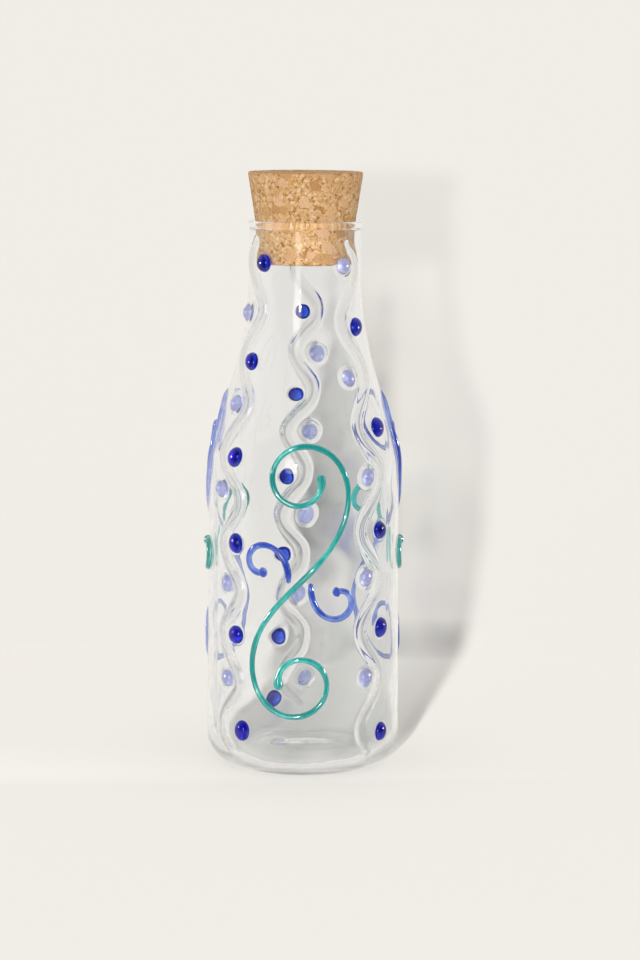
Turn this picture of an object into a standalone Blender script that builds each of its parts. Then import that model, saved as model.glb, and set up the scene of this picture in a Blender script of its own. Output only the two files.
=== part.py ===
# Corked glass carafe: one blown body, clear wavy trails, coloured dots and scrolls, and a cork.
# Metres, +Z up. The origin is at the middle of the foot, on the surface that it stands on.
# The front faces -Y. Angles run round the wall from the front towards +X.

from math import acos, asin, cos, pi, radians, sin, tan

import bmesh
import bpy
from mathutils import Matrix, Vector

# Blown body
neck_radius = 0.0256
shoulder_radius = 0.0440
foot_radius = 0.0450
side_height = 0.1395          # foot to where the side starts to turn in
neck_height = 0.0220          # straight neck, rim included
shoulder_slope = radians(17.2)
shoulder_blend = 0.040        # turn from the side into the slope
neck_blend = 0.165            # long flare from the slope into the neck
foot_blend = 0.013
wall = 0.0022
floor_thickness = 0.0042
push_up = 0.0022              # how far the middle of the foot is pushed in
foot_ring = 0.0045            # width of the flat ring it stands on
lip_overhang = 0.0008         # how far the round lip stands out from the neck
lip_draw_in = 0.0004          # how far it stands in from the bore

# Cork
cork_above = 0.0220           # stands above the rim
cork_below = 0.0195           # pushed into the neck
cork_slope_above = radians(8.5)
cork_slope_below = radians(2.6)   # squeezed by the neck, so less than above
cork_edge = 0.0008
cork_clearance = 0.0003

# Hot glass laid on the wall
seat_gap = 0.0003             # between the wall and what lies on it
wave_thread = 0.0030          # radius of the clear thread
wave_sink = 0.0008            # how far its middle lies inside the wall
wave_swing = 0.0056           # from its middle line to the outside of a bend
wave_below_rim = 0.0095       # where it starts
wave_above_foot = 0.0120      # where it ends
wave_end_taper = 0.75
wave_turn_start = 0.0300      # below the shoulder, where the middle line starts to turn
wave_turn_end = 0.0150        # below the neck
dot_radius = 0.0043
dot_depth = 0.0031            # half the height of the whole drop
dot_sink = 0.0005
dot_gap = 0.0004              # between a dot and the wave beside it

# Coloured scrolls
scroll_thread = 0.00135
scroll_winding = 2.15         # how far each end winds in
scroll_clearance = 0.0010     # least space to the waves on both sides
curl_thread = 0.0015
curl_eye = 0.040              # eye to eye of the spiral that a curl is cut from
curl_from = (-0.0050, 0.0010)     # where a curl leaves the middle of its scroll
curl_tilt = radians(40)
curl_winding = (0.2, 1.8)
end_swell = 1.6               # the blob where a thread is let go
curl_tip = 0.7                # the thin end where a curl starts
end_points = 3                # points of the thread over which its end changes

# Smoothness
turn_steps = 48
arc_steps = {"flare": 5, "shoulder": 4, "foot": 5, "lip": 10, "floor": 5, "push_up": 4, "cork_edge": 3}
wave_rings = 10               # rings of the thread in one wave
scroll_points = 52
curl_points = 14
dot_segments = 10
dot_rings = 7
spiral_steps = 60

colors = {
    "clear_glass": (0.93, 0.96, 0.95),
    "cork": (0.70, 0.48, 0.27),
    "cobalt_glass": (0.03, 0.03, 0.50),
    "lavender_glass": (0.55, 0.54, 0.80),
    "teal_glass": (0.02, 0.48, 0.44),
    "blue_glass": (0.16, 0.28, 0.72),
}
cork_roughness = 0.85
glass_roughness = 0.05
glass_ior = 1.5

# Three clear waves run down the wall, and the angle of their middle line changes over the shoulder.
# The first bend is in waves below the top. Dots are set by hand in the bends, cobalt and lavender in
# turn, each a little up and away from the wave beside it, in mm from its even place, top dot first.
waves = {
    "left": {
        "foot_angle": radians(-47), "neck_angle": radians(-57),
        "swings": 5.46, "first_bend": 0.213, "first_kind": "cobalt",
        "set_off": [(0, 2.5), (-2, 5.6), (-2, 0.3), (0, 0.9), (-2, 0.9), (3.5, 5.6),
                    (1, 0.3), (3, 0.8), (1, 0.8), (1, 0.2), (-1, 4.9)],
    },
    "right": {
        "foot_angle": radians(42.5), "neck_angle": radians(48.5),
        "swings": 4.97, "first_bend": 0.259, "first_kind": "lavender",
        "set_off": [(2, 0.7), (-2.5, 1.9), (-1.5, 3.5), (-1, 5.7), (1, 0.2), (-1, 4.6),
                    (1.5, 0.2), (0, 5.7), (1.5, 0.2), (-2.5, 5.9)],
    },
    "back": {
        "foot_angle": radians(187), "neck_angle": radians(177),
        "swings": 5.72, "first_bend": 0.854, "first_kind": "cobalt",
        "set_off": [(0, 0.3), (0, 3.0), (0, 1.0), (2, 3.6), (-1, 1.8), (1, 4.4),
                    (1.5, 2.5), (2, 0.2), (1, 4.3), (0.5, 4.4), (9.5, 7.9)],
    },
}

# A scroll stands in each panel between two waves, from above the foot to over the shoulder.
scrolls = {
    "front": {"between": ("left", "right"), "above_foot": 0.029, "over_shoulder": 0.0155,
              "hand": 1, "thread": "teal_glass", "curls": "blue_glass"},
    "right": {"between": ("right", "back"), "above_foot": 0.042, "over_shoulder": 0.0345,
              "hand": -1, "thread": "blue_glass", "curls": "teal_glass"},
    "left": {"between": ("back", "left"), "above_foot": 0.042, "over_shoulder": 0.0345,
             "hand": 1, "thread": "blue_glass", "curls": "teal_glass"},
}

# What follows from the sizes above
shoulder_gain = shoulder_blend * (1 - cos(shoulder_slope))
flare_gain = neck_blend * (1 - cos(shoulder_slope))
slope_gain = shoulder_radius - neck_radius - shoulder_gain - flare_gain
slope_foot = side_height + shoulder_blend * sin(shoulder_slope)
slope_top = slope_foot + slope_gain / tan(shoulder_slope)
flare_top = slope_top + neck_blend * sin(shoulder_slope)
rim_height = flare_top + neck_height
bore_radius = neck_radius - wall
lip_outer_radius = neck_radius + lip_overhang
lip_inner_radius = bore_radius - lip_draw_in
lip_bead = (lip_outer_radius - lip_inner_radius) / 2
lip_middle = (lip_outer_radius + lip_inner_radius) / 2
floor_radius = foot_radius - foot_blend
wave_top = rim_height - wave_below_rim
wave_height = wave_top - wave_above_foot
mm = 0.001


def arc(middle, radius, start, end, count):
    """Points (radius, height) on a circle of the profile plane, both ends included."""
    angles = [start + (end - start) * step / count for step in range(count + 1)]
    return [(middle[0] + radius * cos(a), middle[1] + radius * sin(a)) for a in angles]


def side_line(inset, foot_height):
    """The side from the flare down to foot_height, moved inwards square to itself by inset."""
    flare = arc((neck_radius + neck_blend, flare_top), neck_blend + inset,
                pi, pi + shoulder_slope, arc_steps["flare"])
    turn = arc((shoulder_radius - shoulder_blend, side_height), shoulder_blend - inset,
               shoulder_slope, 0, arc_steps["shoulder"])
    corner = foot_blend - inset
    foot = arc((floor_radius, foot_height + corner), corner, 0, -pi / 2, arc_steps["foot"])
    return flare + turn + foot


def ease(share):
    """0 to 1 with a soft start and end."""
    share = min(max(share, 0), 1)
    return share * share * (3 - 2 * share)


def pushed_up(height, radius, count):
    """Points from the middle of the floor out to radius, over the rise that is pushed into it."""
    steps = [step / count for step in range(count + 1)]
    return [(radius * share, height + push_up * (1 - ease(share))) for share in steps]


def wall_at(height):
    """Radius of the outside of the wall at a height, and how far its outward side faces up."""
    if height >= flare_top:
        return neck_radius, 0
    if height >= slope_top:
        tilt = asin((flare_top - height) / neck_blend)
        return neck_radius + neck_blend * (1 - cos(tilt)), tilt
    if height >= slope_foot:
        drop = height - slope_foot
        return shoulder_radius - shoulder_gain - drop * tan(shoulder_slope), shoulder_slope
    if height >= side_height:
        tilt = asin((height - side_height) / shoulder_blend)
        return shoulder_radius - shoulder_blend * (1 - cos(tilt)), tilt
    if height >= foot_blend:
        share = (side_height - height) / (side_height - foot_blend)
        return shoulder_radius + (foot_radius - shoulder_radius) * share, 0
    tilt = asin((height - foot_blend) / foot_blend)
    return foot_radius - foot_blend * (1 - cos(tilt)), tilt


def outward(angle, tilt):
    return Vector((sin(angle) * cos(tilt), -cos(angle) * cos(tilt), sin(tilt)))


def on_wall(angle, height, proud):
    """The point of the wall's outside at an angle and a height, moved out by proud."""
    radius, tilt = wall_at(height)
    point = Vector((radius * sin(angle), -radius * cos(angle), height))
    return point + outward(angle, tilt) * proud


def new_material(name):
    material = bpy.data.materials.new(name)
    material.use_nodes = True
    shader = material.node_tree.nodes["Principled BSDF"]
    is_glass = name.endswith("glass")
    shader.inputs["Base Color"].default_value = (*colors[name], 1)
    shader.inputs["Roughness"].default_value = glass_roughness if is_glass else cork_roughness
    shader.inputs["Metallic"].default_value = 0
    shader.inputs["Transmission Weight"].default_value = 1 if is_glass else 0
    shader.inputs["IOR"].default_value = glass_ior
    return material


def new_piece(name, mesh, material):
    piece = bpy.data.objects.new(name, mesh)
    parts.objects.link(piece)
    piece.parent = carafe
    mesh.materials.clear()
    mesh.materials.append(materials[material])
    return piece


def turned_mesh(name, line):
    """A line of (radius, height) points as an edge chain in the XZ plane."""
    mesh = bpy.data.meshes.new(name)
    mesh.from_pydata([(radius, 0, height) for radius, height in line],
                     [(i, i + 1) for i in range(len(line) - 1)], [])
    return mesh


def turn(piece):
    """Turn a piece's edge chain about Z into a closed round solid."""
    screw = piece.modifiers.new("turn", "SCREW")
    screw.steps = screw.render_steps = turn_steps
    screw.use_merge_vertices = True
    screw.merge_threshold = 0.00001
    screw.use_smooth_shade = True


def seat_on_wall(piece):
    """Take away what lies inside the wall or within the seat gap of it."""
    cut = piece.modifiers.new("seat on the wall", "BOOLEAN")
    cut.operation = "DIFFERENCE"
    cut.solver = "EXACT"
    cut.object = wall_cutter


def make_wall_cutter():
    """The whole outline of the body, grown by the seat gap."""
    top = rim_height + seat_gap
    line = [(0, top), (neck_radius + seat_gap, top)]
    line += side_line(-seat_gap, -seat_gap)
    line += [(0, -seat_gap)]
    cutter = bpy.data.objects.new("wall_cutter", turned_mesh("wall_cutter", line))
    cutters.objects.link(cutter)
    cutter.hide_render = True
    cutter.display_type = "WIRE"
    turn(cutter)
    return cutter


def make_body():
    """Floor, inner wall, round lip, outer wall, foot ring and pushed-up underside, in one line."""
    inside = pushed_up(floor_thickness, floor_radius, arc_steps["floor"])
    inside += side_line(wall, floor_thickness)[-2::-1]
    lip_start = pi + acos((lip_middle - bore_radius) / lip_bead)
    lip_end = -acos((neck_radius - lip_middle) / lip_bead)
    lip = arc((lip_middle, rim_height - lip_bead), lip_bead, lip_start, lip_end, arc_steps["lip"])
    outside = side_line(0, 0)
    underside = pushed_up(0, floor_radius - foot_ring, arc_steps["push_up"])[::-1]
    line = inside + lip + outside + underside
    turn(new_piece("glass_body", turned_mesh("glass_body", line), "clear_glass"))


def make_cork():
    """A tapered cork with eased edges, bent where the lip squeezes it. Its origin is at the lip."""
    lip_height = rim_height - lip_bead
    lip_radius = lip_inner_radius - cork_clearance
    above = cork_above + lip_bead
    below = cork_below - lip_bead
    top_radius = lip_radius + above * tan(cork_slope_above)
    bottom_radius = lip_radius - below * tan(cork_slope_below)
    line = [(0, above)]
    edge_steps = arc_steps["cork_edge"]
    line += arc((top_radius - cork_edge, above - cork_edge), cork_edge, pi / 2, 0, edge_steps)
    line += [(lip_radius, 0)]
    line += arc((bottom_radius - cork_edge, cork_edge - below), cork_edge, 0, -pi / 2, edge_steps)
    line += [(0, -below)]
    cork = new_piece("cork_stopper", turned_mesh("cork_stopper", line), "cork")
    cork.parent = cork_axis
    cork_axis.location.z = lip_height
    turn(cork)


def make_thread(name, places, thicknesses, sink, material):
    """A round thread along (angle, height) places of the wall, flattened where it lies on it."""
    curve = bpy.data.curves.new(name, "CURVE")
    curve.dimensions = "3D"
    curve.bevel_depth = 1
    curve.bevel_resolution = 2
    curve.use_fill_caps = True
    spline = curve.splines.new("POLY")
    spline.points.add(len(places) - 1)
    for point, (angle, height), thickness in zip(spline.points, places, thicknesses):
        point.co = (*on_wall(angle, height, -sink), 1)
        point.radius = thickness
    guide = bpy.data.objects.new(name, curve)
    parts.objects.link(guide)
    bpy.context.view_layer.update()
    evaluated = guide.evaluated_get(bpy.context.evaluated_depsgraph_get())
    mesh = bpy.data.meshes.new_from_object(evaluated)
    place = guide.matrix_world.copy()
    bpy.data.objects.remove(guide)
    shape = bmesh.new()
    shape.from_mesh(mesh)
    bmesh.ops.remove_doubles(shape, verts=shape.verts, dist=0.000001)
    shape.to_mesh(mesh)
    shape.free()
    mesh.shade_smooth()
    piece = new_piece(name, mesh, material)
    piece.matrix_world = place
    seat_on_wall(piece)


def wave_middle(wave, height):
    """Angle of a wave's middle line, which turns from below the shoulder to below the neck."""
    start = side_height - wave_turn_start
    share = ease((height - start) / (flare_top - wave_turn_end - start))
    return wave["foot_angle"] + (wave["neck_angle"] - wave["foot_angle"]) * share


def make_wave(side, wave):
    """A clear thread that swings to and fro, first away from its cobalt side."""
    first_side = -1 if wave["first_kind"] == "cobalt" else 1
    rings = round(wave["swings"] * wave_rings)
    places = []
    for ring in range(rings + 1):
        down = ring / rings
        height = wave_top - wave_height * down
        swing = wave_swing * cos(2 * pi * (wave["first_bend"] - wave["swings"] * down))
        places.append((wave_middle(wave, height) + first_side * swing / wall_at(height)[0], height))
    radii = [wave_thread] * (rings + 1)
    radii[0] = radii[-1] = wave_thread * wave_end_taper
    make_thread("clear_wave_" + side, places, radii, wave_sink, "clear_glass")


def make_dots(side, wave):
    """Drops of glass in the bends of a wave, by turns cobalt and lavender."""
    kinds = ["cobalt", "lavender"] if wave["first_kind"] == "cobalt" else ["lavender", "cobalt"]
    for number, (up, away) in enumerate(wave["set_off"]):
        kind = kinds[number % 2]
        side_sign = 1 if kind == "cobalt" else -1
        bends_down = wave["first_bend"] + number / 2
        height = wave_top - wave_height * bends_down / wave["swings"] + up * mm
        from_middle = wave_thread + dot_gap + dot_radius + away * mm - wave_swing
        radius, tilt = wall_at(height)
        angle = wave_middle(wave, height) + side_sign * from_middle / radius
        out = outward(angle, tilt)
        across = Vector((cos(angle), sin(angle), 0))
        mesh = dot_meshes.get(kind) or make_dot_mesh(kind)
        dot = new_piece(f"{kind}_dot_{side}_{number // 2 + 1}", mesh, kind + "_glass")
        place = Matrix((across, out.cross(across), out)).transposed().to_4x4()
        place.translation = on_wall(angle, height, -dot_sink)
        dot.matrix_world = place
        seat_on_wall(dot)


def make_dot_mesh(kind):
    """A drop that is round from the front and low from the side."""
    mesh = dot_meshes[kind] = bpy.data.meshes.new(kind + "_dot")
    shape = bmesh.new()
    bmesh.ops.create_uvsphere(shape, u_segments=dot_segments, v_segments=dot_rings, radius=1)
    bmesh.ops.scale(shape, vec=(dot_radius, dot_radius, dot_depth), verts=shape.verts)
    shape.to_mesh(mesh)
    shape.free()
    mesh.shade_smooth()
    return mesh


def spiral(winding):
    """A point of the curve whose bend grows evenly along it; its two eyes are 1 apart on Y."""
    step = winding / spiral_steps
    bends = [pi / 2 * (step * (count + 0.5)) ** 2 for count in range(spiral_steps)]
    along = sum(cos(bend) for bend in bends) * step
    side = sum(sin(bend) for bend in bends) * step
    return Vector(((along - side) / 2, (along + side) / 2))


def spiral_line(start, end, count):
    """Points along the spiral, closer together where it winds in."""
    points = []
    for step in range(count):
        share = step / (count - 1)
        even = start + (end - start) * share
        reach = max(abs(start), abs(end))
        points.append(spiral(even * (1.3 - 0.3 * (even / reach) ** 2)))
    return points


def scroll_places(middle, points, hand):
    """Lay flat points (across, up) on the wall about a middle (angle, height)."""
    places = []
    for point in points:
        height = middle[1] + point.y
        places.append((middle[0] + hand * point.x / wall_at(height)[0], height))
    return places


def swelled(thread, count, start_share, end_share):
    """Thread radii that change over the last few points at either end."""
    radii = []
    for step in range(count):
        start = (start_share - 1) * (1 - ease(step / end_points))
        end = (end_share - 1) * (1 - ease((count - 1 - step) / end_points))
        radii.append(thread * (1 + start + end))
    return radii


def make_scroll(side, scroll):
    """A double spiral as large as its panel allows, with two curls that leave its middle."""
    line = spiral_line(-scroll_winding, scroll_winding, scroll_points)
    half_width = max(point.x for point in line)
    half_height = max(point.y for point in line)
    first, last = (waves[name]["foot_angle"] for name in scroll["between"])
    panel_angle = (last - first) % (2 * pi)
    panel_top = side_height + scroll["over_shoulder"]
    middle = (first + panel_angle / 2, (panel_top + scroll["above_foot"]) / 2)
    room_across = shoulder_radius * panel_angle / 2 - wave_swing - wave_thread - scroll_clearance
    room_up = (panel_top - scroll["above_foot"]) / 2
    eye_to_eye = min((room_across - scroll_thread) / half_width,
                     (room_up - scroll_thread) / half_height)
    places = scroll_places(middle, [point * eye_to_eye for point in line], scroll["hand"])
    radii = swelled(scroll_thread, scroll_points, end_swell, end_swell)
    make_thread("scroll_" + side, places, radii, 0, scroll["thread"])
    flat = spiral_line(*curl_winding, curl_points)
    tilt = Matrix.Rotation(curl_tilt, 2)
    curl = [tilt @ (point - flat[0]) * curl_eye + Vector(curl_from) for point in flat]
    radii = swelled(curl_thread, curl_points, curl_tip, end_swell)
    for name, flip in (("upper", 1), ("lower", -1)):
        places = scroll_places(middle, [point * flip for point in curl], scroll["hand"])
        make_thread(f"curl_{side}_{name}", places, radii, 0, scroll["curls"])


for old in list(bpy.data.objects):
    bpy.data.objects.remove(old)

parts = bpy.data.collections.new("glass_carafe")
cutters = bpy.data.collections.new("cutters")
bpy.context.scene.collection.children.link(parts)
bpy.context.scene.collection.children.link(cutters)
carafe = bpy.data.objects.new("carafe", None)
cork_axis = bpy.data.objects.new("cork_axis", None)
parts.objects.link(carafe)
parts.objects.link(cork_axis)
cork_axis.parent = carafe

materials = {name: new_material(name) for name in colors}
dot_meshes = {}
wall_cutter = make_wall_cutter()

make_body()
make_cork()
for side, wave in waves.items():
    make_wave(side, wave)
    make_dots(side, wave)
for side, scroll in scrolls.items():
    make_scroll(side, scroll)

print(f"rim at {rim_height * 1000:.1f} mm, cork top at {(rim_height + cork_above) * 1000:.1f} mm")
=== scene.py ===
from math import acos, cos, pi, radians, sin, tan

import bpy
import numpy as np
from mathutils import Matrix


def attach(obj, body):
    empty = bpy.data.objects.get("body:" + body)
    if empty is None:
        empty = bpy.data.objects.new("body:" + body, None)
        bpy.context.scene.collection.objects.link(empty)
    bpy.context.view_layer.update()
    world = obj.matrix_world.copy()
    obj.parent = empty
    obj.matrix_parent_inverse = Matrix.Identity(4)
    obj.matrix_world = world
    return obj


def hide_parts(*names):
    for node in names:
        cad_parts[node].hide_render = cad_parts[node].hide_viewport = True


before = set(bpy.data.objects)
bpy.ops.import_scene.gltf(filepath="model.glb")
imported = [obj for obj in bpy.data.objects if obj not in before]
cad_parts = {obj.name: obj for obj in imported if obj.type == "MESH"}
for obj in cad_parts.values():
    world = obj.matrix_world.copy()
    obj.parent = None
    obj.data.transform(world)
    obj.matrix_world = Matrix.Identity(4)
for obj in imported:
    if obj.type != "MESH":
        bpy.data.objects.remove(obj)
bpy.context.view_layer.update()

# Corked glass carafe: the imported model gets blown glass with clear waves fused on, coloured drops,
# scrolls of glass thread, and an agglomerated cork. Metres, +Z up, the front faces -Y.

mm = 0.001

# Blown body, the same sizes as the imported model
body = {
    "neckRadius": 0.0256, "shoulderRadius": 0.0440, "footRadius": 0.0450,
    "sideHeight": 0.1395, "neckHeight": 0.0220, "shoulderSlope": radians(17.2),
    "shoulderBlend": 0.040, "neckBlend": 0.165, "footBlend": 0.013,
    "wall": 0.0022, "floorThickness": 0.0042, "pushUp": 0.0022, "footRing": 0.0045,
    "lipOverhang": 0.0008, "lipDrawIn": 0.0004,
}

slope, sideHeight = body["shoulderSlope"], body["sideHeight"]
neckRadius, neckBlend = body["neckRadius"], body["neckBlend"]
shoulderRadius, shoulderBlend = body["shoulderRadius"], body["shoulderBlend"]
footRadius, footBlend = body["footRadius"], body["footBlend"]
shoulderGain = shoulderBlend * (1 - cos(slope))
slopeGain = shoulderRadius - neckRadius - shoulderGain - neckBlend * (1 - cos(slope))
slopeFoot = sideHeight + shoulderBlend * sin(slope)
slopeTop = slopeFoot + slopeGain / tan(slope)
flareTop = slopeTop + neckBlend * sin(slope)
rimHeight = flareTop + body["neckHeight"]
boreRadius = neckRadius - body["wall"]
lipOuter = neckRadius + body["lipOverhang"]
lipInner = boreRadius - body["lipDrawIn"]
lipBead = (lipOuter - lipInner) / 2
lipMiddle = (lipOuter + lipInner) / 2
floorRadius = footRadius - footBlend


def wallAt(height):
    # radius and outward tilt of the wall: straight neck, arc, straight slope, arc, side, foot arc
    z = np.asarray(height, float)
    flare = np.arcsin(np.clip((flareTop - z) / neckBlend, 0, sin(slope)))
    turn = np.arcsin(np.clip((z - sideHeight) / shoulderBlend, 0, sin(slope)))
    foot = np.arcsin(np.clip((z - footBlend) / footBlend, -1, 0))
    side = (sideHeight - z) / (sideHeight - footBlend)
    places = [z >= flareTop, z >= slopeTop, z >= slopeFoot, z >= sideHeight, z >= footBlend]
    radius = np.select(places, [
        neckRadius + 0 * z,
        neckRadius + neckBlend * (1 - np.cos(flare)),
        shoulderRadius - shoulderGain - (z - slopeFoot) * tan(slope),
        shoulderRadius - shoulderBlend * (1 - np.cos(turn)),
        shoulderRadius + (footRadius - shoulderRadius) * side,
    ], footRadius - footBlend * (1 - np.cos(foot)))
    tilt = np.select(places, [0 * z, flare, slope + 0 * z, turn, 0 * z], foot)
    return radius, tilt


def outward(angle, tilt):
    # unit vector out of the wall: the level direction of the angle, tipped up by the tilt
    level = np.cos(tilt)
    return np.stack([np.sin(angle) * level, -np.cos(angle) * level, np.sin(tilt)], -1)


def onWall(angle, height, proud=0.0):
    # the point of the wall's outside at an angle and a height, moved out by proud
    radius, tilt = wallAt(height)
    angle, radius = np.broadcast_arrays(angle, radius)
    foot = np.stack([radius * np.sin(angle), -radius * np.cos(angle),
                     np.broadcast_to(height, angle.shape)], -1)
    return foot + outward(angle, tilt) * np.asarray(proud)[..., None]


def ease(share):
    # soft step from 0 to 1: three times the square less twice the cube
    share = np.clip(share, 0, 1)
    return share * share * (3 - 2 * share)


def roundMax(first, second, width):
    # the larger of two heights, with a soft fillet of the given width where they cross
    return (first + second + np.sqrt((first - second) ** 2 + width ** 2)) / 2


def alongLine(line):
    # distance along a line of points: the running sum of its steps
    return np.concatenate([[0], np.cumsum(np.linalg.norm(np.diff(line, axis=0), axis=1))])


def squareTo(line):
    # unit normals of a flat line: its tangent turned by a quarter
    tangent = np.gradient(line, axis=0)
    normal = np.stack([-tangent[:, 1], tangent[:, 0]], -1)
    return normal / np.linalg.norm(normal, axis=1)[:, None]


def turned(line, angles):
    # places (radius, height) swung round the axis to their angles
    radius, height = line[..., 0], line[..., 1]
    return np.stack([radius * np.sin(angles), -radius * np.cos(angles), height], -1)


def makeMesh(name, rows, poles, attributes=None):
    # rows of points round a closed section, each joined to the next, and each end row to its pole
    count, around = rows.shape[:2]
    points = np.concatenate([rows.reshape(-1, 3), np.asarray(poles, float)])
    here = np.arange(count * around).reshape(count, around)
    there = np.roll(here, -1, axis=1)
    quads = np.stack([here[:-1], there[:-1], there[1:], here[1:]], -1).reshape(-1, 4)
    first = np.full(around, count * around)
    fans = np.concatenate([np.stack([there[0], here[0], first], -1),
                           np.stack([here[-1], there[-1], first + 1], -1)])
    sides = np.concatenate([quads[:, [0, 1, 2]], quads[:, [0, 2, 3]], fans])
    a, b, c = (points[sides[:, corner]] for corner in range(3))
    if np.einsum("ij,ij->", a, np.cross(b, c)) < 0:      # faces point outwards
        quads, fans = quads[:, ::-1], fans[:, ::-1]
    mesh = bpy.data.meshes.new(name)
    mesh.from_pydata(points.tolist(), [], quads.tolist() + fans.tolist())
    mesh.shade_smooth()
    for label, values in (attributes or {}).items():
        layer = mesh.attributes.new(label, "FLOAT", "POINT")
        layer.data.foreach_set("value", np.asarray(values, float).ravel())
    return mesh


def addObject(name, data):
    # a mesh, lamp or camera put into the scene
    made = bpy.data.objects.new(name, data)
    bpy.context.scene.collection.objects.link(made)
    return made


def addPiece(name, mesh, material, bodyName, slot, *replaced):
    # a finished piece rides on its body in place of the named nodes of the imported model
    piece = addObject(name, mesh)
    mesh.materials.append(material)
    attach(piece, bodyName)
    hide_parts(*replaced)
    return piece


# Shader nodes
def feed(made, inputs):
    # an input that is given a socket is linked to it, any other is set
    for name, value in inputs.items():
        if isinstance(value, bpy.types.NodeSocket):
            tree.links.new(value, made.inputs[name])
        else:
            made.inputs[name].default_value = value


def node(kind, inputs=None, **settings):
    # a new node, given back as its outputs
    made = tree.nodes.new("ShaderNode" + kind)
    for name, value in settings.items():
        setattr(made, name, value)
    feed(made, inputs or {})
    return made.outputs


def calc(kind, *values):
    # one sum, product or the like of two or three values
    return node("Math", dict(enumerate(values)), operation=kind)[0]


def vectors(kind, *values):
    # the same for vectors; a length or dot product is a plain number
    made = node("VectorMath", dict(enumerate(values)), operation=kind)
    return made["Value" if kind in ("LENGTH", "DOT_PRODUCT") else "Vector"]


def scaled(vector, scale):
    # a vector or a colour times a number
    return node("VectorMath", {0: vector, "Scale": scale}, operation="SCALE")[0]


def mapped(value, start, end, low=0.0, high=1.0, kind="LINEAR"):
    # low up to start, high from end on, an even or soft run between
    return node("MapRange", {"Value": value, "From Min": start, "From Max": end,
                             "To Min": low, "To Max": high}, interpolation_type=kind)[0]


def noise(place, scale, detail, roughness=0.5):
    # a random cloud, about this many blobs to the metre
    return node("TexNoise", {"Vector": place, "Scale": scale, "Detail": detail,
                             "Roughness": roughness})


def cells(place, scale, feature="F1"):
    # random cells, about this many to the metre
    return node("TexVoronoi", {"Vector": place, "Scale": scale}, feature=feature)


def ramp(fac, stops):
    # a colour ramp from a list of (position, colour)
    made = node("ValToRGB", {"Fac": fac})["Color"]
    elements = made.node.color_ramp.elements
    while len(elements) < len(stops):
        elements.new(0.5)
    for element, (position, color) in zip(elements, stops):
        element.position = position
        element.color = (*color, 1)
    return made


def blend(share, first, second, kind="MIX"):
    # the first colour, with a share of the second mixed or multiplied in
    return node("Mix", {0: share, 6: first, 7: second}, data_type="RGBA", blend_type=kind)[2]


def mixed(share, first, second):
    # the first shader, with a share of the second
    return node("MixShader", {0: share, 1: first, 2: second})[0]


def shine(kind, color, strength=1.0):
    # light of a colour times a strength, as Emission or Background
    return node(kind, {"Color": color, "Strength": strength})[0]


def bumped(height, distance, strength=1.0):
    # the normal of a surface of this height times the distance
    return node("Bump", {"Height": height, "Distance": distance, "Strength": strength})[0]


def startTree(owner):
    # from here on nodes go into the tree of this material or world
    global tree
    owner.use_nodes = True
    tree = owner.node_tree


def newMaterial(name):
    # an empty material with its main shader and output
    material = bpy.data.materials.new(name)
    startTree(material)
    return material, tree.nodes["Principled BSDF"], tree.nodes["Material Output"]


def scattered(path):
    # 1 for rays that a matt surface has scattered, through glass as well
    return calc("GREATER_THAN", path["Diffuse Depth"], 0.5)


def mirroredOnce(path):
    # 1 for glossy and refracted rays that a surface has mirrored, 0 for those straight through
    inGlass = calc("MAXIMUM", path["Is Glossy Ray"], path["Is Transmission Ray"])
    once = calc("GREATER_THAN", path["Glossy Depth"], 0.5)
    return calc("MULTIPLY", inGlass, once)


# the film is for rays mirrored more often than this, and by a share for scattered light
film = {"mirrorings": 2, "scattered": 0.5}


def lampStandIn(shader, output, color, caughtColor):
    # a clear film in place of the glass: whole for lamps and for light caught in the wall, each in
    # its colour, else by the film's share of scattered light
    path = node("LightPath")
    color = blend(path["Is Shadow Ray"], (*caughtColor, 1), color)
    caught = calc("GREATER_THAN", path["Glossy Depth"], film["mirrorings"] + 0.5)
    whole = calc("MAXIMUM", path["Is Shadow Ray"], caught)
    soft = calc("MULTIPLY", scattered(path), film["scattered"])
    share = calc("MAXIMUM", whole, soft)
    clear = node("BsdfTransparent", {"Color": color})[0]
    feed(output, {"Surface": mixed(share, shader.outputs[0], clear)})


def absorbInside(output, look):
    # thick glass drinks more light, by the look's colour and density
    inside = node("VolumeAbsorption", {"Color": (*look["absorb"], 1), "Density": look["density"]})
    feed(output, {"Volume": inside[0]})


# Clear glass
clearLook = {
    "tints": [(0.15, (0.982, 0.994, 1.0)), (0.7, (0.80, 0.81, 0.825))],    # bare, then laid on
    "ior": 1.44, "absorb": (0.0, 0.03, 0.04), "density": 2.0,
    "rippleScale": 60, "rippleHeight": 0.00008,   # fine unevenness of hand-blown glass
    "smearScale": 140.0, "smearStops": (0.45, 0.75), "smearRoughness": 0.03,
    # the film that lamps see: streaks, and less light low down and at the foot's edge
    "lampStreaks": [(0.38, (0.72, 0.73, 0.72)), (0.66, (1.0, 1.0, 1.0))],
    "lampStreakScale": (45, 45, 14),
    "lampFoot": 0.88, "lampFootZ": (0.03, 0.11), "lampEdge": 0.85, "lampEdgeZ": (0.005, 0.014),
    "caught": (0.94, 0.945, 0.94),
}


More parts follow.
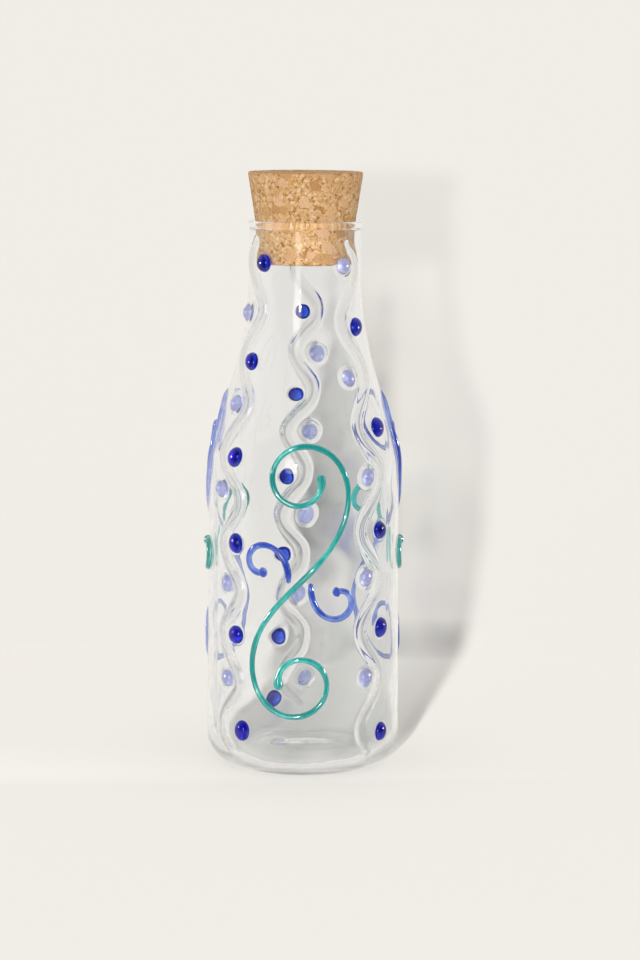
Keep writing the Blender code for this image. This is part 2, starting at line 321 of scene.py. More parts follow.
def makeClearGlass():
    # clear glass, greyer by what is laid on, with ripples and faint smears. Its film is streaks
    # times the foot's share, times 1 less the edge's share by the square of the wall's turn
    look = clearLook
    material, shader, output = newMaterial("clearBlownGlass")
    coords = node("TexCoord")["Object"]
    laid = node("Attribute", attribute_name="laid")["Fac"]
    ripples = noise(coords, look["rippleScale"], 2.0, 0.45)["Fac"]
    smears = noise(coords, look["smearScale"], 3.0)["Fac"]
    feed(shader, {
        "Base Color": ramp(laid, look["tints"]), "Transmission Weight": 1, "IOR": look["ior"],
        "Roughness": mapped(smears, *look["smearStops"], 0.0, look["smearRoughness"]),
        "Normal": bumped(ripples, look["rippleHeight"])})
    absorbInside(output, look)
    stretched = node("Mapping", {"Vector": coords, "Scale": look["lampStreakScale"]})[0]
    streaks = noise(stretched, 1.0, 2.0)["Fac"]
    light = ramp(streaks, look["lampStreaks"])
    height = node("SeparateXYZ", {0: coords})["Z"]
    foot = mapped(height, *look["lampFootZ"], look["lampFoot"], 1.0)
    edge = calc("POWER", node("LayerWeight", {"Blend": 0.5})["Facing"], 2.0)
    darkening = mapped(height, *look["lampEdgeZ"], 0.0, -look["lampEdge"])
    edge = calc("MULTIPLY_ADD", edge, darkening, 1.0)
    light = scaled(light, calc("MULTIPLY", foot, edge))
    lampStandIn(shader, output, light, look["caught"])
    return material


# Three clear waves run down the wall. Angles are of the middle line, the first bend in waves below
# the top. Each dot has a little shift (up, away) in mm from its even place.
waveShape = {"thread": 0.0030, "swing": 0.0056, "belowRim": 0.0095, "aboveFoot": 0.0120,
             "turnStart": 0.0300, "turnEnd": 0.0150, "endTaper": 0.75, "points": 520,
             "taperPoints": 14, "laidHalf": 0.0035, "laidHeight": 0.0018, "laidPower": 1.25}
waves = {
    "left": {"foot": radians(-47), "neck": radians(-57), "swings": 5.46, "firstBend": 0.213,
             "firstKind": "cobalt",
             "setOff": [(0, 2.5), (-2, 5.6), (-2, 0.3), (0, 0.9), (-2, 0.9), (3.5, 5.6),
                        (1, 0.3), (3, 0.8), (1, 0.8), (1, 0.2), (-1, 4.9)]},
    "right": {"foot": radians(42.5), "neck": radians(48.5), "swings": 4.97, "firstBend": 0.259,
              "firstKind": "lavender",
              "setOff": [(2, 0.7), (-2.5, 1.9), (-1.5, 3.5), (-1, 5.7), (1, 0.2), (-1, 4.6),
                         (1.5, 0.2), (0, 5.7), (1.5, 0.2), (-2.5, 5.9)]},
    "back": {"foot": radians(187), "neck": radians(177), "swings": 5.72, "firstBend": 0.854,
             "firstKind": "cobalt",
             "setOff": [(0, 0.3), (0, 3.0), (0, 1.0), (2, 3.6), (-1, 1.8), (1, 4.4),
                        (1.5, 2.5), (2, 0.2), (1, 4.3), (0.5, 4.4), (9.5, 7.9)]},
}
waveTop = rimHeight - waveShape["belowRim"]
waveHeight = waveTop - waveShape["aboveFoot"]


def waveMiddle(wave, height):
    # angle of the middle line, which eases from the foot's to the neck's over the shoulder
    start = sideHeight - waveShape["turnStart"]
    end = flareTop - waveShape["turnEnd"]
    return wave["foot"] + (wave["neck"] - wave["foot"]) * ease((height - start) / (end - start))


def waveLine(wave, count):
    # places along the thread: middle line plus a cosine swing, first away from the cobalt side
    down = np.linspace(0, 1, count)
    height = waveTop - waveHeight * down
    side = -1 if wave["firstKind"] == "cobalt" else 1
    swing = waveShape["swing"] * np.cos(2 * pi * (wave["firstBend"] - wave["swings"] * down))
    return waveMiddle(wave, height) + side * swing / wallAt(height)[0], height


dotShape = {
    "cobalt": {"radius": 0.0042, "mound": 0.0050, "moundHeight": 0.0006},
    "lavender": {"radius": 0.0036, "mound": 0.0055, "moundHeight": 0.0016},
    "moundSag": 0.2, "moundSlope": 5,      # how low a mound's edge is, and how steep it falls on
    "placedRadius": 0.0043, "depth": 0.0031, "sink": 0.0005, "gap": 0.0004, "under": 0.08,
    "rings": 20, "around": 36, "unevenness": 0.05, "stretch": (0.97, 1.05),
    # how much lighter one side is as painted light, how close to the rim, and how deep the middle
    # looks
    "sides": {"left": (0.6, 3, 1.0), "right": (-0.6, 3, 1.0), "back": (-0.55, 1, 0.62)},
    "heartPower": 0.7, "innerHeart": 0.6,
}


def dotPlaces():
    # (kind, side, number, angle, height) of every dot: half a wave apart, and out from the middle
    # line by thread, gap and drop less the swing, with its own shift
    places = []
    for side, wave in waves.items():
        other = "lavender" if wave["firstKind"] == "cobalt" else "cobalt"
        for number, (up, away) in enumerate(wave["setOff"]):
            kind = (wave["firstKind"], other)[number % 2]
            bends = wave["firstBend"] + number / 2
            height = waveTop - waveHeight * bends / wave["swings"] + up * mm
            across = (waveShape["thread"] + dotShape["gap"] + dotShape["placedRadius"]
                      + away * mm - waveShape["swing"])
            radius = wallAt(height)[0]
            angle = waveMiddle(wave, height) + (1 if kind == "cobalt" else -1) * across / radius
            places.append((kind, side, number // 2 + 1, float(angle), float(height)))
    return places


dots = dotPlaces()

shell = {
    "bandHalf": 0.0140,          # columns lie close within this of each wave's middle line
    "bandColumns": 56, "plainColumns": 22, "levelBelow": 0.002,
    "flarePoints": 60, "shoulderPoints": 30, "footPoints": 40, "lipPoints": 200,
    "insideStep": 0.0042, "lipStep": 0.0005, "outsideStep": 0.0008, "undersideStep": 0.0030,
    "waveFillet": 0.0003, "moundFillet": 0.00015, "batches": 12,
    # slow waves in the wall: height, then how fast each runs up and round, and its start
    "ripples": [(0.00005, 110, 3, 0.4), (0.00004, 190, -5, 2.1), (0.00003, 330, 7, 4.4)],
    "insideRipples": 1.3, "stillMiddle": 0.03, "stillRim": 0.004, "rimFade": 0.01,
    "stillFoot": 0.004,
}


def arcPoints(middle, radius, start, end, count):
    # middle plus radius times cosine and sine of even angles
    angles = np.linspace(start, end, count)
    return np.stack([middle[0] + radius * np.cos(angles), middle[1] + radius * np.sin(angles)], -1)


def sideLine(inset, footHeight):
    # the side from flare to foot as (radius, height), moved inwards square to itself
    flare = arcPoints((neckRadius + neckBlend, flareTop), neckBlend + inset,
                      pi, pi + slope, shell["flarePoints"])
    turn = arcPoints((shoulderRadius - shoulderBlend, sideHeight), shoulderBlend - inset,
                     slope, 0, shell["shoulderPoints"])
    corner = footBlend - inset
    foot = arcPoints((floorRadius, footHeight + corner), corner, 0, -pi / 2, shell["footPoints"])
    return np.concatenate([flare, turn, foot])


def pushedUp(height, radius):
    # a floor from its middle out, raised by the push-up and easing down to its rim
    share = np.linspace(0, 1, shell["footPoints"])
    return np.stack([radius * share, height + body["pushUp"] * (1 - ease(share))], -1)


def evenLine(line, step):
    # points at even steps along a line
    along = alongLine(line)
    places = np.linspace(0, along[-1], max(2, round(along[-1] / step) + 1))
    return np.stack([np.interp(places, along, line[:, axis]) for axis in (0, 1)], -1)


def columnAngles(height):
    # angles of the columns at each height: close within each wave's band, wider between the bands
    half = shell["bandHalf"] / wallAt(height)[0]
    middles = [waveMiddle(wave, height) for wave in waves.values()]
    middles.append(middles[0] + 2 * pi)
    band = np.linspace(-1, 1, shell["bandColumns"], endpoint=False)
    plain = np.linspace(0, 1, shell["plainColumns"], endpoint=False)
    angles = []
    for here, after in zip(middles[:3], middles[1:]):
        start, end = here + half, after - half
        angles += [here[:, None] + half[:, None] * band,
                   start[:, None] + (end - start)[:, None] * plain]
    return np.concatenate(angles, 1)


def sideways(angles, middle):
    # how far angles lie to the side of a middle one, from minus to plus half a turn
    return (angles - middle + pi) % (2 * pi) - pi


def laidOn(angles, radius, along, heights):
    # height of the glass laid on the wall: a thread is its height times a power of 1 less the
    # square of the distance over its half width, a mound its height times the root of that
    lift = np.zeros(angles.shape)
    order = np.argsort(heights)
    count = waveShape["points"]
    for wave in waves.values():
        waveAngle, waveZ = waveLine(wave, count)
        waveAlong = np.interp(waveZ, heights[order], along[order])
        fromEnd = np.minimum(np.arange(count), count - 1 - np.arange(count))
        size = (waveShape["endTaper"]
                + (1 - waveShape["endTaper"]) * ease(fromEnd / waveShape["taperPoints"]))
        turn = sideways(angles, waveMiddle(wave, heights)[:, None])
        row, column = np.nonzero(np.abs(turn) * radius[:, None] < shell["bandHalf"])
        for part in np.array_split(np.arange(len(row)), shell["batches"]):
            r, c = row[part], column[part]
            aside = sideways(angles[r, c][:, None], waveAngle) * radius[r][:, None]
            gap = np.hypot(aside, along[r][:, None] - waveAlong)
            closest = gap.argmin(1)
            gap = gap[np.arange(len(part)), closest]
            gap = gap / (waveShape["laidHalf"] * size[closest])
            cap = np.maximum(1 - gap ** 2, 0) ** waveShape["laidPower"]
            cap *= waveShape["laidHeight"] * size[closest]
            lift[r, c] = np.maximum(lift[r, c], cap)
    mounds = np.full(angles.shape, -0.01)                # well below the wall
    sag, fall = dotShape["moundSag"], dotShape["moundSlope"]
    for kind, _, _, angle, height in dots:
        shape = dotShape[kind]
        dotAlong = np.interp(height, heights[order], along[order])
        gap = np.hypot(sideways(angles, angle) * radius[:, None],
                       (along - dotAlong)[:, None]) / shape["mound"]
        dome = (1 + sag) * np.sqrt(np.maximum(1 - gap ** 2, 0)) - sag
        dome = np.where(gap < 1, dome, fall * (1 - gap) - sag)
        mounds = np.maximum(mounds, shape["moundHeight"] * dome)
    mounds = roundMax(mounds, 0, shell["moundFillet"])
    return roundMax(lift, mounds, shell["waveFillet"]) - shell["waveFillet"] / 2


def ripple(angles, heights):
    # slight unevenness of the wall: a few slow sine waves round and up the bottle
    total = np.zeros(angles.shape)
    for size, upward, roundward, start in shell["ripples"]:
        total += size * np.sin(upward * heights[:, None] + roundward * angles + start)
    return total


def makeShell():
    # one closed skin: floor, inner wall, round lip, outer wall and underside, each point of the
    # outline pushed out by ripples and by the glass laid on
    inside = np.concatenate([pushedUp(body["floorThickness"], floorRadius),
                             sideLine(body["wall"], body["floorThickness"])[-2::-1]])
    inside = evenLine(inside, shell["insideStep"])
    lipStart = pi + acos((lipMiddle - boreRadius) / lipBead)
    lipEnd = -acos((neckRadius - lipMiddle) / lipBead)
    lip = arcPoints((lipMiddle, rimHeight - lipBead), lipBead, lipStart, lipEnd,
                    shell["lipPoints"])
    neckInside = evenLine(np.array([inside[-1], lip[0]]), shell["insideStep"])
    lip = evenLine(lip, shell["lipStep"])
    outside = evenLine(np.concatenate([lip[-1:], sideLine(0, 0)]), shell["outsideStep"])
    underside = evenLine(pushedUp(0, floorRadius - body["footRing"])[::-1], shell["undersideStep"])
    parts = [inside[1:-1], neckInside[:-1], lip[:-1], outside, underside[:-1]]
    line = np.concatenate(parts)
    radius, height = line[:, 0], line[:, 1]
    start = sum(len(part) for part in parts[:3])
    outer = slice(start, start + len(outside))
    normal = squareTo(line)
    normal[outer] *= -1 if normal[start + len(outside) // 2, 0] < 0 else 1
    angles = columnAngles(np.maximum(height, shell["levelBelow"]))
    still = (ease(radius / shell["stillMiddle"]) * ease(height / shell["stillFoot"])
             * ease((rimHeight - shell["stillRim"] - height) / shell["rimFade"]))
    push = ripple(angles, height) * still[:, None]
    push[:start] *= shell["insideRipples"]
    laid = np.zeros(angles.shape)
    laid[outer] = laidOn(angles[outer], radius[outer], alongLine(line[outer]), height[outer])
    push += laid
    rows = turned(line[:, None, :] + normal[:, None, :] * push[..., None], angles)
    poles = [(0, 0, body["floorThickness"] + body["pushUp"]), (0, 0, body["pushUp"])]
    laid = np.append(laid.ravel() / waveShape["laidHeight"], [0, 0])
    mesh = makeMesh("glassShell", rows, poles, {"laid": laid})
    print(f"glass shell: {len(mesh.polygons)} faces")
    return mesh


addPiece("glassShell", makeShell(), makeClearGlass(), "carafe", "clear_glass", "glass_body",
         "clear_wave_left", "clear_wave_right", "clear_wave_back")


# Coloured glass: how deep the colour looks follows the thickness of the drop or thread, and on
# the drops a painted lit side
cobalt = {"slot": "cobalt_glass", "thin": (0.05, 0.38, 0.98), "clear": 1.0, "rough": 0.01,
          "coat": 0.0, "lamp": (0.30, 0.32, 0.75), "absorb": (0.32, 0.12, 0.88),
          "density": 700.0, "pools": 0.15, "skin": 0.00001}
blueThread = {"slot": "blue_glass", "rough": 0.06, "coat": 0.5, "pools": 0.4, "skin": 0.00003}
glassLook = {
    "cobalt": {**cobalt, "thick": (0.035, 0.011, 0.40)},
    # painted light: a lighter, bluer copy of the cobalt for the drops in front of the bright side
    "cobaltLeft": {**cobalt, "thick": (0.050, 0.014, 0.78)},       # in front of the bright side
    # painted light: a clearer copy of the cobalt for the drops at the back, seen lit from behind
    "cobaltBack": {**cobalt, "thin": (0.10, 0.30, 1.0), "thick": (0.02, 0.01, 0.30),
                   "absorb": (0.20, 0.30, 0.97), "density": 340.0},
    "lavender": {"slot": "lavender_glass", "thin": (0.68, 0.70, 0.94),
                 "thick": (0.42, 0.44, 0.77), "clear": 0.45, "rough": 0.30, "coat": 1.0,
                 "lamp": (0.70, 0.70, 0.88), "pools": 0.15, "skin": 0.00002},
    "teal": {"slot": "teal_glass", "thin": (0.10, 0.74, 0.66), "thick": (0.006, 0.37, 0.345),
             "clear": 0.40, "rough": 0.10, "coat": 1.0, "lamp": (0.45, 0.75, 0.72),
             "pools": 0.45, "skin": 0.00003},
    "blue": {**blueThread, "thin": (0.46, 0.60, 0.98), "thick": (0.03, 0.09, 0.56),
             "clear": 0.6, "lamp": (0.45, 0.52, 0.85), "absorb": (0.0, 0.35, 0.85),
             "density": 180.0},
    "paleBlue": {**blueThread, "thin": (0.74, 0.78, 0.97), "thick": (0.30, 0.38, 0.80),
                 "clear": 0.7, "lamp": (0.65, 0.70, 0.90), "absorb": (0.55, 0.65, 0.92),
                 "density": 120.0},
}
colourGrain = {"wispScale": 260.0, "wispStops": (0.25, 0.75), "wisps": 0.30, "poolScale": 45.0,
               "poolStops": (0.3, 0.7), "skinScale": 420.0, "thinStop": 0.12, "thickStop": 0.78,
               "roughShares": (0.7, 1.3), "ior": 1.5, "coatRoughness": 0.02}


def makeColourGlass(kind):
    # thin colour to thick by the mesh's own depth plus small wisps and slow pools
    look = {**colourGrain, **glassLook[kind]}
    material, shader, output = newMaterial(kind + "Glass")
    coords = node("TexCoord")["Object"]
    depth = node("Attribute", attribute_name="depth")["Fac"]
    cloud = noise(coords, look["wispScale"], 3.0)["Fac"]
    slow = noise(coords, look["poolScale"], 1.0)["Fac"]
    skin = noise(coords, look["skinScale"], 2.0)["Fac"]
    wisps = mapped(cloud, *look["wispStops"], -look["wisps"], look["wisps"])
    pools = mapped(slow, *look["poolStops"], -look["pools"], look["pools"])
    deep = calc("ADD", calc("ADD", depth, wisps), pools)
    least, most = (look["rough"] * share for share in look["roughShares"])
    feed(shader, {
        "Base Color": ramp(deep, [(look["thinStop"], look["thin"]),
                                  (look["thickStop"], look["thick"])]),
        "Transmission Weight": look["clear"], "IOR": look["ior"],
        "Roughness": mapped(cloud, *look["poolStops"], least, most),
        "Coat Weight": look["coat"], "Coat Roughness": look["coatRoughness"],
        "Normal": bumped(skin, look["skin"])})
    if "absorb" in look:
        absorbInside(output, look)
    lampStandIn(shader, output, (*look["lamp"], 1), look["lamp"])
    return material


colourGlass = {kind: makeColourGlass(kind) for kind in glassLook}
colouredPieces = []


def addColoured(name, mesh, look, replaced):
    # a drop or thread, noted for the small lamps that light these alone
    colouredPieces.append(addPiece(name, mesh, colourGlass[look], "carafe",
                                   glassLook[look]["slot"], replaced))


def makeDot(kind, side, number, angle, height, uneven):
    # a drop: half an ellipsoid outside the wall, a flatter half in it, a little out of round. Its
    # colour depth is its heart times a power of the fall's cosine, less a painted lit side
    shape = {**dotShape, **dotShape[kind]}
    turn = np.linspace(0, 2 * pi, shape["around"], endpoint=False)
    fall = np.linspace(0, pi, shape["rings"] + 2)[1:-1, None]
    size = shape["radius"] * (1 + uneven[0] * shape["unevenness"])
    oval = 1 + shape["unevenness"] * np.cos(2 * (turn - uneven[1] * pi))
    drop = np.where(np.cos(fall) > 0, 1.0, shape["under"])
    wide, tall = shape["stretch"]
    flat = np.stack([size * np.sin(fall) * oval * np.cos(turn) * wide,
                     size * np.sin(fall) * oval * np.sin(turn) * tall,
                     shape["depth"] * np.cos(fall) * drop * np.ones_like(turn)], -1)
    out = outward(np.float64(angle), wallAt(height)[1])
    across = np.array([cos(angle), sin(angle), 0])
    middle = onWall(np.float64(angle), height, -shape["sink"])
    rows = middle + flat @ np.stack([across, np.cross(out, across), out])
    poles = [middle + out * shape["depth"], middle - out * shape["depth"] * shape["under"]]
    # painted light: colour depth less on one side of the drop and more on the other, most near the
    # rim
    paintedLight, rim, heart = shape["sides"][side]
    lit = paintedLight * np.sin(fall) ** rim * np.cos(turn)
    inner = heart * shape["innerHeart"]
    outer = heart * np.cos(np.minimum(fall, pi / 2)) ** shape["heartPower"]
    depth = np.where(np.cos(fall) > 0, outer, inner) - lit
    mesh = makeMesh(f"{kind}Drop_{side}_{number}", rows, poles,
                    {"depth": np.append(depth.ravel(), [heart, inner])})
    # the left and back drops take the painted-light copies of the cobalt
    look = kind + side.title() if kind + side.title() in glassLook else kind
    addColoured(mesh.name, mesh, look, f"{kind}_dot_{side}_{number}")


chance = np.random.default_rng(11)
for kind, side, number, angle, height in dots:
    makeDot(kind, side, number, angle, height, chance.uniform(-1, 1, 2))
print(f"{len(dots)} drops of coloured glass")

# Scrolls of glass thread: a double spiral in each panel between two waves, with two curls
scrollShape = {
    "thread": 0.00135, "winding": 2.15, "clearance": 0.0010, "curlThread": 0.0015,
    "curlEye": 0.040, "curlFrom": (-0.0050, 0.0010), "curlTilt": radians(40),
    "curlWinding": (0.2, 1.8), "endSwell": 1.6, "curlTip": 0.7, "endShare": 0.05,
    "closerEnds": 0.3, "farWinding": 2.4, "fineSteps": 4801,
    "points": 420, "curlPoints": 150, "around": 18, "capRings": 5, "under": 0.55,
    "handUneven": 0.10, "wanderPaces": (90, 170, 260, 410),
    # colour depth, and streaks in it as (height, times round, how far they wander, how fast)
    "midDepth": 0.45, "topDepth": 0.20, "leastDepth": 0.10, "endDepth": 0.4,
    "streaks": [(0.16, 3, 3, 60), (0.12, 5, 4, 35)],
}
scrolls = {
    "front": {"between": ("left", "right"), "aboveFoot": 0.029, "overShoulder": 0.0155,
              "hand": 1, "thread": "teal", "curls": "blue"},
    "right": {"between": ("right", "back"), "aboveFoot": 0.042, "overShoulder": 0.0345,
              "hand": -1, "thread": "blue", "curls": "teal"},
    "left": {"between": ("back", "left"), "aboveFoot": 0.042, "overShoulder": 0.0345,
             "hand": 1, "thread": "paleBlue", "curls": "teal"},
}


def spiralLine(start, end, count):
    # a curve whose bend grows evenly: running sums of the cosine and sine of half pi times the
    # square of the winding. Its two eyes are 1 apart on Y, with closer points winding in.
    even = np.linspace(start, end, count)
    reach = max(abs(start), abs(end))
    winding = even * (1 + scrollShape["closerEnds"] * (1 - (even / reach) ** 2))
    fine = np.linspace(0, scrollShape["farWinding"], scrollShape["fineSteps"])
    middle = (fine[1:] + fine[:-1]) / 2
    step = fine[1] - fine[0]
    along = np.concatenate([[0], np.cumsum(np.cos(pi / 2 * middle ** 2) * step)])
    side = np.concatenate([[0], np.cumsum(np.sin(pi / 2 * middle ** 2) * step)])
    x = np.interp(np.abs(winding), fine, along) * np.sign(winding)
    y = np.interp(np.abs(winding), fine, side) * np.sign(winding)
    return np.stack([(x - y) / 2, (x + y) / 2], -1)


def withEnds(rows, count):
    # first and last row repeated for the rings of the rounded ends
    return np.concatenate([np.repeat(rows[:1], count, 0), rows, np.repeat(rows[-1:], count, 0)])


def makeThread(name, angle, height, radii, look, replaced, seed):
    # a thread along the wall with rounded ends, flatter in the wall: its line plus its radius
    # (which wanders as by hand) times cosine across and sine outwards
    shape, line = scrollShape, onWall(angle, height)
    along = alongLine(line)
    uneven = np.random.default_rng(seed).uniform(0, 2 * pi, 4)
    wander = sum(np.sin(along * pace + start) for pace, start in zip(shape["wanderPaces"], uneven))
    radii = radii * (1 + shape["handUneven"] * wander / 3)
    tangent = np.gradient(line, axis=0)
    tangent /= np.linalg.norm(tangent, axis=1)[:, None]
    caps = shape["capRings"]
    reach = np.sin(np.linspace(0, pi / 2, caps + 2)[1:-1])
    cap = np.sqrt(1 - reach ** 2)
    tail, tip = tangent[0] * radii[0], tangent[-1] * radii[-1]
    centres = np.concatenate([line[0] - tail * reach[::-1, None], line,
                              line[-1] + tip * reach[:, None]])
    sizes = np.concatenate([radii[0] * cap[::-1], radii, radii[-1] * cap])
    poles = [line[0] - tail, line[-1] + tip]
    out = withEnds(outward(angle, wallAt(height)[1]), caps)
    across = np.cross(withEnds(tangent, caps), out)
    turn = np.linspace(0, 2 * pi, shape["around"], endpoint=False)
    rise = np.where(np.sin(turn) > 0, np.sin(turn), np.sin(turn) * shape["under"])
    rows = (centres[:, None] + across[:, None] * (sizes[:, None] * np.cos(turn))[..., None]
            + out[:, None] * (sizes[:, None] * rise)[..., None])
    share = np.clip(sizes / shape["thread"], 0, shape["endSwell"])[:, None]
    places = withEnds(along, caps)[:, None]
    depth = share * (shape["midDepth"] + shape["topDepth"] * np.sin(turn)) + shape["leastDepth"]
    for (size, times, far, pace), start in zip(shape["streaks"], uneven):
        depth = depth + size * np.sin(times * turn + far * np.sin(places * pace + start))
    depth = np.append(depth.ravel(), [shape["endDepth"]] * 2)
    addColoured(name, makeMesh(name, rows, poles, {"depth": depth}), look, replaced)


def swelled(thread, count, startShare, endShare):
    # thread radii that grow or shrink softly towards either end
    share = np.linspace(0, 1, count)
    start = (startShare - 1) * (1 - ease(share / scrollShape["endShare"]))
    end = (endShare - 1) * (1 - ease((1 - share) / scrollShape["endShare"]))
    return thread * (1 + start + end)


def makeScroll(side, scroll, seed):
    # the largest spiral in half the panel less swing, thread and clearance, and half its height. A
    # curl is a piece of the same curve, turned half round for the lower one
    shape = scrollShape
    line = spiralLine(-shape["winding"], shape["winding"], shape["points"])
    first, last = (waves[name]["foot"] for name in scroll["between"])
    panelAngle = (last - first) % (2 * pi)
    panelTop = sideHeight + scroll["overShoulder"]
    middle = (first + panelAngle / 2, (panelTop + scroll["aboveFoot"]) / 2)
    roomAcross = (shoulderRadius * panelAngle / 2 - waveShape["swing"]
                  - waveShape["thread"] - shape["clearance"])
    roomUp = (panelTop - scroll["aboveFoot"]) / 2
    eye = min((roomAcross - shape["thread"]) / line[:, 0].max(),
              (roomUp - shape["thread"]) / line[:, 1].max())

    def places(points):
        # flat points laid round the wall: the angle is the distance over the radius
        height = middle[1] + points[:, 1]
        return middle[0] + scroll["hand"] * points[:, 0] / wallAt(height)[0], height

    swell, tip = shape["endSwell"], shape["curlTip"]
    makeThread(f"scrollThread_{side}", *places(line * eye),
               swelled(shape["thread"], len(line), swell, swell), scroll["thread"],
               f"scroll_{side}", seed)
    flat = spiralLine(*shape["curlWinding"], shape["curlPoints"])
    tilt = shape["curlTilt"]
    turn = np.array([[cos(tilt), sin(tilt)], [-sin(tilt), cos(tilt)]])
    curl = (flat - flat[0]) @ turn * shape["curlEye"] + np.array(shape["curlFrom"])
    radii = swelled(shape["curlThread"], len(curl), tip, swell)
    for name, flip in (("upper", 1), ("lower", -1)):
        makeThread(f"curlThread_{side}_{name}", *places(curl * flip), radii, scroll["curls"],
                   f"curl_{side}_{name}", seed + 1 + flip)


for count, (side, scroll) in enumerate(scrolls.items()):
    makeScroll(side, scroll, 20 + 5 * count)
print("scrolls and curls laid on")

# Agglomerated cork
cork = {
    "above": 0.0220, "below": 0.0195, "slopeAbove": radians(8.5), "slopeBelow": radians(2.6),
    "edge": 0.0008, "edgePoints": 12, "clearance": 0.0003, "step": 0.0005, "around": 220,
    # pits as (height, how fast up, how fast round, start)
    "pits": [(0.4, 900, 21, 0.0), (0.3, 1400, -34, 1.0), (0.3, 700, 47, 2.0),
             (0.25, 2100, 58, 3.0), (0.25, 1700, -71, 4.0)],
    "relief": 0.00016, "edgeWear": 0.00035, "wearWidth": 0.0012, "wearBites": (19, 7, 2),
    "stillMiddle": 0.006,
    "seatBand": 0.002, "seatRelief": 0.3,      # smoother where the lip holds it
}


def makeCorkMesh():
    # turned outline: flat top, edge, taper, less taper in the neck, edge, flat underside. It lies
    # in by the pits, and at the top edge by the wear, which fades as a bell curve
    lipZ = rimHeight - lipBead
    lipRadius = lipInner - cork["clearance"]
    top, bottom = cork["above"] + lipBead, cork["below"] - lipBead
    topRadius = lipRadius + top * tan(cork["slopeAbove"])
    bottomRadius = lipRadius - bottom * tan(cork["slopeBelow"])
    edge, count = cork["edge"], cork["edgePoints"]
    line = np.concatenate([
        [(0, top)], arcPoints((topRadius - edge, top - edge), edge, pi / 2, 0, count),
        [(lipRadius, 0)],
        arcPoints((bottomRadius - edge, edge - bottom), edge, 0, -pi / 2, count),
        [(0, -bottom)]])
    line = evenLine(line, cork["step"])[1:-1]
    angles = np.linspace(0, 2 * pi, cork["around"], endpoint=False)
    r, z = line[:, 0][:, None], line[:, 1][:, None]
    rough = np.zeros((len(line), cork["around"]))
    for size, upward, roundward, start in cork["pits"]:
        rough += size * np.sin(upward * (z + r) + roundward * angles + start)
    worn = np.exp(-((z - top) ** 2 + (r - topRadius) ** 2) / cork["wearWidth"] ** 2)
    times, slowly, far = cork["wearBites"]
    worn = worn * (1 + np.sin(times * angles + np.sin(slowly * angles) * far)) / 2
    inward = -(np.abs(rough) * cork["relief"] + worn * cork["edgeWear"])
    inward *= ease(r / cork["stillMiddle"])
    seat = cork["seatRelief"] + (1 - cork["seatRelief"]) * ease(np.abs(z) / cork["seatBand"])
    normal = squareTo(line)
    normal *= -1 if normal[len(line) // 2, 0] < 0 else 1
    rows = turned(line[:, None, :] + normal[:, None, :] * (inward * seat)[..., None], angles)
    rows[..., 2] += lipZ
    return makeMesh("corkStopper", rows, [(0, 0, lipZ + top), (0, 0, lipZ - bottom)])


corkLook = {
    "chipScale": 205.0, "grainScale": 900.0, "warpScale": 420.0, "warp": 0.0016,
    "chips": [(0.0, (0.60, 0.31, 0.12)), (0.25, (0.70, 0.40, 0.17)), (0.45, (0.80, 0.50, 0.25)),
              (0.65, (0.84, 0.52, 0.32)), (0.85, (0.74, 0.42, 0.18)), (1.0, (0.88, 0.62, 0.38))],
    "grains": [(0.0, (0.44, 0.19, 0.055)), (0.12, (0.58, 0.29, 0.10)), (0.30, (0.72, 0.42, 0.17)),
               (0.6, (0.80, 0.49, 0.23)), (0.85, (0.85, 0.56, 0.31)), (1.0, (0.93, 0.68, 0.45))],
    "wholeChips": (0.35, 0.75), "wholeReach": 0.62,    # which cells hold one chip, and its size
    "fineScale": 2600.0, "fine": [(0.3, (0.72, 0.68, 0.62)), (0.6, (1.05, 1.05, 1.05))],
    "breakScale": 520.0, "breaks": (0.53, 0.75), "seamWidth": 0.06,
    "speckScale": 1500.0, "specks": 0.68, "seam": (0.30, 0.115, 0.028), "seamShare": 0.6,
    "roughness": (0.7, 0.95), "specular": 0.3, "bevel": 0.12, "bump": 0.00022, "bumpShare": 0.7,
}


def makeCorkMaterial():
    # warped cells: one chip where it fills its cell, else grains, times a fine cloud, with dark
    # broken seams and specks. Its height is the way from the seams plus the cloud less the dark
    look = corkLook
    material, shader, _ = newMaterial("pressedCork")
    coords = node("TexCoord")["Object"]
    shift = vectors("SUBTRACT", noise(coords, look["warpScale"], 3.0)["Color"], (0.5, 0.5, 0.5))
    bent = vectors("ADD", coords, scaled(shift, look["warp"]))
    chips = cells(bent, look["chipScale"])
    tone = node("SeparateColor", {0: chips["Color"]})
    grain = node("SeparateColor", {0: cells(bent, look["grainScale"])["Color"]})
    reach = mapped(tone[1], *look["wholeChips"], 0.0, look["wholeReach"])
    whole = calc("LESS_THAN", chips["Distance"], reach)
    color = blend(whole, ramp(grain[1], look["grains"]), ramp(tone[0], look["chips"]))
    fine = noise(coords, look["fineScale"], 4.0, 0.7)["Fac"]
    color = blend(1.0, color, ramp(fine, look["fine"]), "MULTIPLY")
    edges = cells(bent, look["chipScale"], "DISTANCE_TO_EDGE")["Distance"]
    broken = noise(coords, look["breakScale"], 2.0)["Fac"]
    seam = calc("LESS_THAN", edges, mapped(broken, *look["breaks"], 0.0, look["seamWidth"]))
    speck = calc("GREATER_THAN", noise(bent, look["speckScale"], 1.0)["Fac"], look["specks"])
    dark = calc("MAXIMUM", seam, speck)
    color = blend(calc("MULTIPLY", dark, look["seamShare"]), color, (*look["seam"], 1))
    height = calc("ADD", calc("MINIMUM", edges, look["bevel"]), fine)
    height = calc("SUBTRACT", height, dark)
    feed(shader, {
        "Base Color": color, "Roughness": mapped(fine, 0.0, 1.0, *look["roughness"]),
        "Specular IOR Level": look["specular"],
        "Normal": bumped(height, look["bump"], look["bumpShare"])})
    return material


addPiece("corkStopper", makeCorkMesh(), makeCorkMaterial(), "stopper", "cork", "cork_stopper")
print("cork made")

